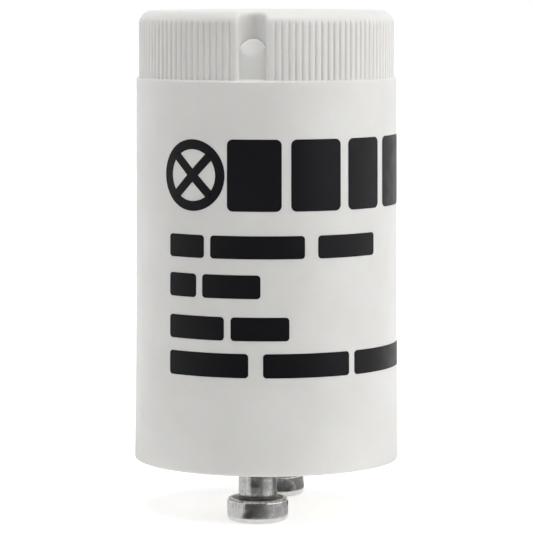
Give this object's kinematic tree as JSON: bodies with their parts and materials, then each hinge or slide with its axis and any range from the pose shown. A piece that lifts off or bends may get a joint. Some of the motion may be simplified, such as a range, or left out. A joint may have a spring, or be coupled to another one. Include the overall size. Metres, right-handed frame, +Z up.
{
  "type": "fluorescent starter",
  "caption": "Plug-in glow starter: a ribbed white plastic can with two headed contact pins, and a glow bulb with a bimetal switch and a capacitor inside.",
  "frame": {"origin": "on the can's axis, in the plane of the contact pins' feet", "axes": "+Z up along the can's axis to the ribbed grip; the two pins and the grip's two notches lie on the Y axis"},
  "size_m": [0.0214, 0.0214, 0.0403],
  "materials": {
    "white_plastic": "satin",
    "disc_plastic": "satin",
    "nickel": "brushed",
    "solder": "bright",
    "wire": "drawn",
    "glass": "clear",
    "bimetal": "rolled",
    "film_roll": "satin",
    "yellow_tape": "gloss",
    "potting_resin": "satin",
    "black_ink": "printed"
  },
  "bodies": {
    "starter": {"housing_can": "white_plastic", "base_disc": "disc_plastic", "contact_pin_front": "nickel", "contact_pin_rear": "nickel", "solder_front": "solder", "solder_rear": "solder", "bulb_envelope": "glass", "bulb_lead_front": "wire", "bulb_lead_rear": "wire", "fixed_electrode": "wire", "capacitor_winding": "film_roll", "capacitor_wrap": "yellow_tape", "capacitor_end_fill_front": "potting_resin", "capacitor_end_fill_rear": "potting_resin", "capacitor_lead_front": "wire", "capacitor_lead_rear": "wire"},
    "switch_strip": {"bimetal_strip": "bimetal"}
  },
  "joints": [
    {"name": "strip_bend", "type": "hinge", "parent": "starter", "child": "switch_strip", "pos_m": [-0.00436, -0.00085, 0.01772], "axis": [-1, 0, 0], "range_deg": [0, 4], "stiffness_Nm_per_rad": 0.001}
  ]
}
